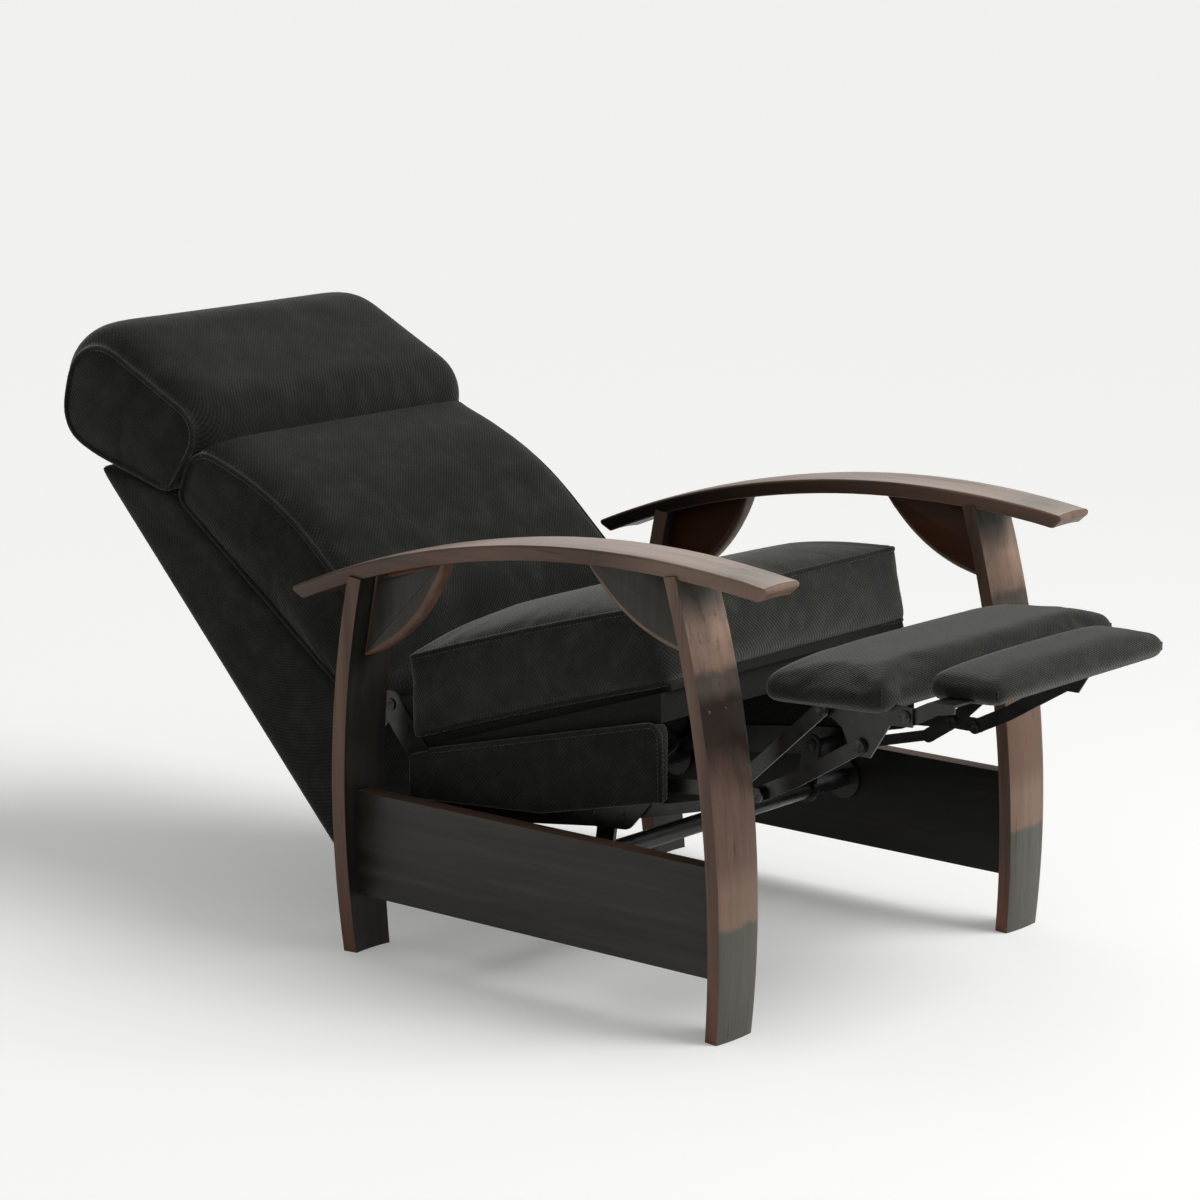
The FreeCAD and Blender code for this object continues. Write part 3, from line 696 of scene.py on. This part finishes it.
def stuffed(name, corners, half, bulges, body, nodes, *, cap, pull, edge, arches=(0, 0), seams=(),
            drop=0, step=None, pleats=False):
    """A box cushion: lattice skin, cloth simulation, one subdivision, welts on the named seams.

    cap is how far the simulation may move a point, and 0 leaves it out; drop is how many squares the upper
    seam lies below the top; pleats are sewn folds up the front corners. The rest is as box_cushion says.
    """
    lengths = box_spans(corners, half)
    counts = tuple(count_for(length, step) for length in lengths)
    skin = Lattice(box_cushion(corners, half, bulges, arches, pull, edge), counts, lengths)
    piece = new_object(name, sewn(name, skin.points, skin.faces, skin.uvs))
    loops = {"under": skin.level_loop(0), "top": skin.level_loop(counts[2] - drop)}
    held = {skin.index[key] for seam in (seams or ["under"]) for key in loops[seam]}
    held |= {number for key, number in skin.index.items() if key[2] == 0}
    inflate(piece, held, cap)
    lines = [(skin.line(piece.data, loops[seam]), True) for seam in seams]
    folds = [(skin.line(piece.data, skin.upright(i)), False) for i in (0, counts[0])] if pleats else []
    finish_cushion(piece, body, nodes)
    if lines:
        welt(name + "_welt", lines, body)
    if folds:
        welt(name + "_pleat", folds, body, radius=sizes().pleat)


def rounded_outline(base, corners, step):
    """A closed side-view line: a flat base, then a path round the other corners, each (y, z, radius)."""
    first, last = (Vector((0, *point)) for point in base)
    path = [last, *(Vector((0, y, z)) for y, z, _ in corners), first]
    line = [first, last]
    for before, corner, after, (_, _, radius) in zip(path, path[1:], path[2:], corners):
        back, ahead = (before - corner).normalized(), (after - corner).normalized()
        half_angle = back.angle(ahead) / 2
        centre = corner + (back + ahead).normalized() * (radius / math.sin(half_angle))
        start, end = (corner + way * (radius / math.tan(half_angle)) - centre for way in (back, ahead))
        sweep = start.angle(end)
        steps = max(3, math.ceil(radius * sweep / step))
        for number in range(steps + 1):
            share = number / steps
            spoke = (start * math.sin((1 - share) * sweep) + end * math.sin(share * sweep)) / math.sin(sweep)
            line.append(centre + spoke)
    return even_steps(line, step)


def even_steps(line, step):
    """A closed line cut into even steps of about the size asked."""
    ahead = line[1:] + line[:1]
    lengths = [(b - a).length for a, b in zip(line, ahead)]
    count = round(sum(lengths) / step)
    spacing, cuts, walked, index = sum(lengths) / count, [], 0.0, 0
    for number in range(count):
        while walked + lengths[index] < number * spacing:
            walked += lengths[index]
            index += 1
        cuts.append(line[index].lerp(ahead[index], (number * spacing - walked) / lengths[index]))
    return cuts


def wrapped(name, base, corners, half, crown, ends, body, nodes, *, cap):
    """A cushion whose cover wraps round a side-view outline, with a piped panel at each end.

    base is the pair of corners it is seated on, corners are the rounded corners of the rest of its outline;
    crown is how much fuller the middle is than the ends, and ends how far the end panels stand out.
    """
    step, seated, glued, cap_rows = sizes().mesh_step, 0.05, 0.006, 7
    seat_a, seat_b = (Vector((0, *corner)) for corner in base)
    seat = (seat_b - seat_a).normalized()
    ring = rounded_outline(base, corners, step)
    middle = sum(ring, Vector()) / len(ring)
    count, stations = len(ring), count_for(2 * half)
    points, faces, uvs = [], [], []
    ahead = ring[1:] + ring[:1]
    normals = [(ahead[i] - ring[i - 1]).cross(Vector((1, 0, 0))).normalized() for i in range(count)]
    facing = 1 if sum(n.dot(p - middle) for n, p in zip(normals, ring)) > 0 else -1
    height = [(spot - seat_a - seat * (spot - seat_a).dot(seat)).length for spot in ring]
    for station in range(stations + 1):
        u = 2 * station / stations - 1
        for spot, normal, above in zip(ring, normals, height):
            swell = normal * (facing * crown * min(1.0, above / seated) * dome(u, 12) ** 0.5)
            points.append(spot + swell + Vector((half * u, 0, 0)))
    for station in range(stations):
        for i in range(count):
            j = (i + 1) % count
            here, there = station * count, (station + 1) * count
            patch = [here + i, there + i, there + j, here + j]
            quad = [(station, i), (station + 1, i), (station + 1, i + 1), (station, i + 1)]
            cloth = [(a * 2 * half / stations, b * step) for a, b in quad]
            faces.append(patch[::facing])
            uvs.append(cloth[::facing])
    for sign, first in ((-1, 0), (1, stations * count)):
        rows = [list(range(first, first + count))]
        for row in range(1, cap_rows):
            share = 1 - row / cap_rows
            rows.append(list(range(len(points), len(points) + count)))
            points.extend(middle.lerp(spot, share) + Vector((sign * (half + ends * (1 - share ** 6)), 0, 0))
                          for spot in ring)
        hub = len(points)
        points.append(middle + Vector((sign * (half + ends), 0, 0)))
        for outer, inner in zip(rows, rows[1:] + [None]):
            for i in range(count):
                j = (i + 1) % count
                face = [outer[i], outer[j]] + ([hub] if inner is None else [inner[j], inner[i]])
                faces.append(face[::sign * facing])
                uvs.append([(points[k].y, points[k].z) for k in faces[-1]])
    mesh = sewn(name, points, faces, uvs)
    piece = new_object(name, mesh)
    last = stations * count
    held = {*range(count), *range(last, last + count)}
    low = [i for i in range(count) if height[i] < glued]
    held |= {station * count + i for station in range(stations + 1) for i in low}
    inflate(piece, held, cap)
    lines = [([mesh.vertices[first + i].co.copy() for i in range(count)], True) for first in (0, last)]
    finish_cushion(piece, body, nodes)
    welt(name + "_welt", lines, body)


def clean_copy(node, flat):
    """A copy of a node's mesh and its bmesh, with faces joined where they meet within an angle in degrees."""
    mesh = frame["nodes"][node].data.copy()
    mesh.materials.clear()
    work = bmesh.new()
    work.from_mesh(mesh)
    bmesh.ops.remove_doubles(work, verts=work.verts, dist=WELD)
    bmesh.ops.dissolve_limit(work, angle_limit=math.radians(flat), verts=work.verts, edges=work.edges)
    return mesh, work


def wooden_copy(node, width, finishes, pick, rim=None, rim_width=None):
    """A node's solid with rounded edges; pick names the finish of a face from its normal.

    rim tells from a normal whether a face is part of a rim. The rim's edges along the sides are rounded by
    rim_width, which runs in from both tips.
    """
    mesh, work = clean_copy(node, flat=0.4)
    crease, run_in = math.radians(40), 0.05
    names = list(finishes)
    for face in work.faces:
        face.material_index = names.index(pick(face.normal))
    weight = work.edges.layers.float.new("bevel_weight_edge")
    sharp = [edge for edge in work.edges if edge.calc_face_angle(0) > crease]
    rims = {edge for edge in sharp if rim and any(rim(face.normal) for face in edge.link_faces)
            and any(abs(face.normal.x) > 0.9 for face in edge.link_faces)}
    tips = [end.co for edge in rims for end in edge.verts if len(rims.intersection(end.link_edges)) == 1]
    for edge in sharp:
        edge[weight] = width / rim_width if rim else 1.0
        if edge in rims:
            centre = (edge.verts[0].co + edge.verts[1].co) / 2
            from_tip = min((centre - tip).length for tip in tips)
            edge[weight] = min(1.0, max(edge[weight], from_tip / run_in))
    work.to_mesh(mesh)
    work.free()
    for finish in finishes.values():
        mesh.materials.append(finish)
    mesh.shade_smooth()
    piece = new_object(node + "_wood", mesh)
    bevel = piece.modifiers.new("edge", "BEVEL")
    bevel.width = rim_width or width
    bevel.segments = 3
    bevel.limit_method = "WEIGHT"
    bevel.use_clamp_overlap = not rim
    bevel.material = names.index("edge")
    bevel.harden_normals = True
    frozen(piece)
    smooth(piece, 50)
    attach(piece, body_of(frame["nodes"][node])[0])
    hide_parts(node)


def covered_board(name, node, body):
    """A board covered in cloth: the node's solid, softened, with cloth UVs by its largest faces."""
    mesh, work = clean_copy(node, flat=1)
    mesh.materials.append(cloth_material())
    work.to_mesh(mesh)
    work.free()
    piece = new_object(name, mesh)
    bevel = piece.modifiers.new("edge", "BEVEL")
    bevel.width, bevel.segments, bevel.angle_limit = sizes().apron_round, 4, math.radians(30)
    mesh = frozen(piece)
    layer = mesh.uv_layers.get("UVMap") or mesh.uv_layers.new(name="UVMap")
    for polygon in mesh.polygons:
        for loop in polygon.loop_indices:
            spot = mesh.vertices[mesh.loops[loop].vertex_index].co
            sideways = abs(polygon.normal.x) > 0.5
            layer.data[loop].uv = (spot.y, spot.z) if sideways else (spot.x, spot.y + spot.z)
    smooth(piece, 60)
    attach(piece, body)
    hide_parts(node)


def hung(lamp, place, target):
    """A lamp in the scene, turned to its target and unseen itself."""
    holder = bpy.data.objects.new(lamp.name, lamp)
    bpy.context.scene.collection.objects.link(holder)
    holder.location = place
    holder.rotation_euler = (place - target).to_track_quat("Z", "Y").to_euler()
    holder.visible_camera = False


class RECLINER_OT_stage(bpy.types.Operator):
    """Pale floor, soft lamps and the camera"""
    bl_idname = "recliner.stage"
    bl_label = "Stage, lamps and camera"

    def execute(self, context):
        scene = context.scene
        scene.view_settings.view_transform = "Standard"
        floor_glow, sky, sky_seen, reach = 0.18, 0.36, 0.92, 80.0
        shader = Shader("pale_floor", roughness=0.9, specular=0.1)
        shader.surface.inputs["Base Color"].default_value = (*colours().floor, 1)
        rays = shader.node("LightPath")
        seen = shader.maths("MAXIMUM", rays.outputs["Is Camera Ray"], rays.outputs["Is Glossy Ray"])
        seen = shader.maths("MAXIMUM", seen, rays.outputs["Is Transmission Ray"])
        shader.link(shader.maths("MULTIPLY", seen, floor_glow), shader.surface.inputs["Emission Strength"])
        shader.surface.inputs["Emission Color"].default_value = (1.0, 1.0, 0.98, 1)
        mesh = bpy.data.meshes.new("floor")
        mesh.from_pydata([(-reach, -reach, 0), (reach, -reach, 0), (reach, reach, 0), (-reach, reach, 0)], [],
                         [(0, 1, 2, 3)])
        mesh.materials.append(shader.material)
        new_object("floor", mesh)
        world = bpy.data.worlds.new("studio")
        world.use_nodes = True
        nodes, links = world.node_tree.nodes, world.node_tree.links
        surround = nodes["Background"].inputs
        surround["Color"].default_value = (0.95, 0.96, 0.94, 1)
        rays, lift = nodes.new("ShaderNodeLightPath"), nodes.new("ShaderNodeMath")
        lift.operation = "MULTIPLY_ADD"
        lift.inputs[1].default_value, lift.inputs[2].default_value = sky_seen - sky, sky
        links.new(rays.outputs["Is Camera Ray"], lift.inputs[0])
        links.new(lift.outputs[0], surround["Strength"])
        scene.world = world
        for name, toward_lamp, spread, strength in (("key", (0.55, -1.0, 1.25), 40, 1.75),
                                                    ("back", (0.5, 1.0, 0.9), 60, 0.15)):
            lamp = bpy.data.lights.new(name, "SUN")
            lamp.angle, lamp.energy = math.radians(spread), strength
            hung(lamp, Vector(toward_lamp) * 4, Vector())
        front = bpy.data.lights.new("front", "AREA")
        front.size, front.energy = 1.4, 17
        hung(front, Vector((0.9, -2.4, 1.7)), Vector((0.0, -0.4, 0.4)))
        camera = bpy.data.objects.new("camera", bpy.data.cameras.new("camera"))
        scene.collection.objects.link(camera)
        stand, target = Vector((-4.0584, -3.4000, 1.5446)), Vector((-0.0626, -0.0477, 0.4742))
        camera.location = stand
        camera.rotation_euler = (target - stand).to_track_quat("-Z", "Y").to_euler()
        camera.data.lens = sizes().lens
        scene.camera = camera
        return {"FINISHED"}


class RECLINER_OT_staves(bpy.types.Operator):
    """Arms and legs: bowed staves with hoop marks outside, char inside and rubbed edges"""
    bl_idname = "recliner.staves"
    bl_label = "Stave arms and legs"

    def execute(self, context):
        # The arm top runs from pale at the front to brown at the rear: the pale front is partly painted
        # highlight where the arm catches the light, and "hoop" is a hoop mark in it
        arm = stave_wood("arm_stave", ALONG, (
            (-0.57, "pale"), (-0.51, "hoop"), (-0.46, "pale"), (-0.12, "pale"), (0.03, "worn"),
            (0.13, "bare"), (0.27, "brown")), roughness=0.36, coat=0.35, stain_depth=0.35, specular=0.5)
        # Hoop bands and stains up the leg; the "worn" band near 0.53 is a painted highlight
        leg = stave_wood("leg_stave", UP, (
            (0.0, "grey"), (0.146, "grey"), (0.153, "bare"), (0.200, "bare"), (0.235, "brown"),
            (0.320, "brown"), (0.390, "stain"), (0.440, "stain"), (0.460, "smoke"), (0.474, "smoke"),
            (0.484, "bare"), (0.532, "worn"), (0.578, "grey"), (0.620, "smoke")),
            roughness=0.42, stain_depth=0.4, specular=0.22)
        arm_edge = stave_wood("arm_edge", ALONG, (
            (-0.57, "bare"), (-0.40, "bare"), (-0.30, "dark"), (-0.10, "brown"), (0.10, "dark"),
            (0.27, "dark")))
        inner_edge = stave_wood("arm_inner_edge", ALONG, (
            (-0.57, "bare"), (-0.36, "brown"), (-0.15, "dark"), (0.10, "stain"), (0.27, "stain")))
        leg_edge = stave_wood("leg_edge", UP, ((0.0, "red"), (0.12, "brown"), (0.62, "brown")))
        char = charred_wood("charred_face", UP)
        nails, nail_height, nail_shares, run_up = [], 0.432, (0.18, 0.54), 0.1
        for side, outward in SIDES.items():
            leg_node = frame["nodes"][f"front_leg_{side}"]
            low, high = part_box(f"front_leg_{side}")
            for share in nail_shares:
                x = (high.x if outward > 0 else low.x) - outward * share * (high.x - low.x)
                found, spot, facing, _ = leg_node.ray_cast((x, low.y - run_up, nail_height), (0, 1, 0))
                if not found:
                    raise RuntimeError("a nail misses its leg")
                nails.append((spot, facing))
        studs("leg_nails", nails, sizes().nail, "frame", bright_steel())
        width = sizes().edge_round
        for side, outward in SIDES.items():
            wooden_copy(f"arm_{side}", width, {"face": arm, "edge": arm_edge, "inner": inner_edge},
                        lambda normal: "face" if normal.z > 0.5 else
                        "inner" if normal.x * outward < -0.5 else "edge")
            for stem, sign in (("front_leg", -1), ("rear_leg", 1)):
                wooden_copy(f"{stem}_{side}", width, {"face": leg, "edge": leg_edge, "char": char},
                            lambda normal: "edge" if abs(normal.x) > 0.6 else
                            "face" if normal.y * sign > 0 else "char")
        return {"FINISHED"}


class RECLINER_OT_boards(bpy.types.Operator):
    """Side rails and the curved corbels under the arms"""
    bl_idname = "recliner.boards"
    bl_label = "Rails and corbels"

    def execute(self, context):
        rail = charred_wood("rail_char", ALONG, glow=0.6, roughness=0.42, lightness=1.2)
        face = charred_wood("corbel_char", UP, glow=0.05, roughness=0.40, lightness=1.6)
        inner = stave_wood("corbel_inner", ALONG, ((-0.5, "umber"), (0.3, "umber")), roughness=0.4)
        char = charred_wood("rail_inner", ALONG, lightness=0.28)
        rim = stave_wood("corbel_rim", ALONG, ((-0.5, "bare"), (0.0, "brown"), (0.3, "red")))
        edge = stave_wood("rail_edge", ALONG, ((-0.5, "dark"), (0.3, "dark")))
        rail_finishes = {"face": rail, "inner": char, "edge": edge}
        corbel_finishes = {"face": face, "inner": inner, "edge": rim}
        for side, outward in SIDES.items():
            def pick(normal):
                return "edge" if abs(normal.x) < 0.5 else "face" if normal.x * outward > 0 else "inner"

            wooden_copy(f"side_rail_{side}", sizes().rail_round, rail_finishes, pick)
            for stem, facing in (("front_corbel", 1), ("rear_corbel", -1)):
                wooden_copy(f"{stem}_{side}", sizes().joint_round, corbel_finishes, pick,
                            lambda normal: normal.z < 0.3 and normal.y * facing > 0, sizes().rim_round)
        return {"FINISHED"}


class RECLINER_OT_steelwork(bpy.types.Operator):
    """Painted links, plates, tubes and brackets, and the boards that they carry"""
    bl_idname = "recliner.steelwork"
    bl_label = "Steelwork"

    def execute(self, context):
        # The inner_wood boards take the near-black cover: painted shade inside the seat box
        finishes = {"black_steel": black_steel(), "rivet_steel": bright_steel(), "inner_wood": shade_black_cover()}
        for subpart in frame["record"]["subparts"]:
            if subpart["material_slot"] in finishes:
                mesh = frame["nodes"][subpart["node"]].data
                mesh.materials.clear()
                mesh.materials.append(finishes[subpart["material_slot"]])
        return {"FINISHED"}


class RECLINER_OT_seat(bpy.types.Operator):
    """Seat cushion with piped edges, and the padded aprons of the seat box"""
    bl_idname = "recliner.seat"
    bl_label = "Seat cushion and box"

    def execute(self, context):
        stuffed("seat_cushion_cloth", ((-0.333, 0.430), (0.119, 0.289), (0.125, 0.412), (-0.310, 0.540)), 0.270,
                (0.003, 0.016, 0.012, 0.006, 0.004), "seat", ["seat_cushion"], cap=0.013, pull=0.006,
                edge=0.012, arches=(0.003, 0.004), seams=("top", "under"), drop=1)
        for side in SIDES:
            covered_board(f"seat_apron_{side}_cloth", f"seat_apron_{side}", "seat")
        apron_face, stitch = 0.2805, 0.006
        edges = ((0.074, 0.282), (-0.322, 0.379), (-0.332, 0.368), (-0.333, 0.277))
        welt("seat_apron_welt", [(dotted([(x, y, z) for y, z in edges], stitch), False)
                                 for x in (-apron_face, apron_face)], "seat")
        return {"FINISHED"}


class RECLINER_OT_back(bpy.types.Operator):
    """Upholstered back with its cushion and head roll"""
    bl_idname = "recliner.back"
    bl_label = "Back, cushion and head roll"

    def execute(self, context):
        boards = [f"back_{name}" for name in ("side_left", "side_right", "foot", "panel", "crest", "deck")]
        stuffed("back_shell_cloth", ((0.251, 0.096), (0.732, 0.608), (0.572, 0.583), (0.190, 0.306)), 0.279,
                (0.004, 0.0, 0.002, 0.0, 0.003), "back", boards, cap=0, pull=0.0, edge=0.009, step=0.016)
        wrapped("back_cushion_cloth", ((0.210, 0.3200), (0.562, 0.5760)), (
            (0.530, 0.654, 0.036), (0.362, 0.597, 0.500), (0.200, 0.452, 0.032)),
            0.274, 0.032, 0.004, "back", ["back_cushion"], cap=0.008)
        wrapped("head_roll_cloth", ((0.577, 0.5850), (0.724, 0.6250)), (
            (0.800, 0.655, 0.050), (0.762, 0.810, 0.066), (0.508, 0.684, 0.036)),
            0.279, 0.040, 0.004, "back", ["head_roll"], cap=0.006)
        return {"FINISHED"}


class RECLINER_OT_footrest(bpy.types.Operator):
    """Padded ottoman and flipper, pulled over their boards"""
    bl_idname = "recliner.footrest"
    bl_label = "Footrest pads"

    def execute(self, context):
        stuffed("ottoman_cloth", ((-0.676, 0.440), (-0.487, 0.432), (-0.486, 0.470), (-0.678, 0.487)), 0.270,
                (0.0, 0.010, 0.003, 0.003, 0.002), "ottoman", ["ottoman_pad", "ottoman_board"],
                cap=0.007, pull=0.002, edge=0.019, pleats=True)
        stuffed("flipper_cloth", ((-0.800, 0.456), (-0.690, 0.450), (-0.690, 0.487), (-0.800, 0.488)), 0.195,
                (0.0, 0.006, 0.003, 0.003, 0.002), "flipper", ["flipper_pad", "flipper_board"],
                cap=0.005, pull=0.002, edge=0.017, pleats=True)
        return {"FINISHED"}


class RECLINER_PT_panel(bpy.types.Panel):
    """Sizes, colours and pieces of the recliner"""
    bl_idname = "RECLINER_PT_panel"
    bl_label = "Barrel stave recliner"
    bl_space_type = "VIEW_3D"
    bl_region_type = "UI"
    bl_category = "Recliner"

    def draw(self, context):
        for group in (context.scene.recliner_sizes, context.scene.recliner_colours):
            for key in group.__annotations__:
                self.layout.prop(group, key)
        for operator in OPERATORS:
            self.layout.operator(operator.bl_idname)


OPERATORS = (RECLINER_OT_stage, RECLINER_OT_staves, RECLINER_OT_boards, RECLINER_OT_steelwork,
             RECLINER_OT_seat, RECLINER_OT_back, RECLINER_OT_footrest)
CLASSES = (ReclinerSizes, ReclinerColours, *OPERATORS, RECLINER_PT_panel)


def register():
    for entry in CLASSES:
        bpy.utils.register_class(entry)
    bpy.types.Scene.recliner_sizes = PointerProperty(type=ReclinerSizes)
    bpy.types.Scene.recliner_colours = PointerProperty(type=ReclinerColours)


def unregister():
    del bpy.types.Scene.recliner_sizes
    del bpy.types.Scene.recliner_colours
    for entry in reversed(CLASSES):
        bpy.utils.unregister_class(entry)


def main():
    register()
    for operator in OPERATORS:
        family, name = operator.bl_idname.split(".")
        getattr(getattr(bpy.ops, family), name)()


if __name__ == "__main__":
    main()
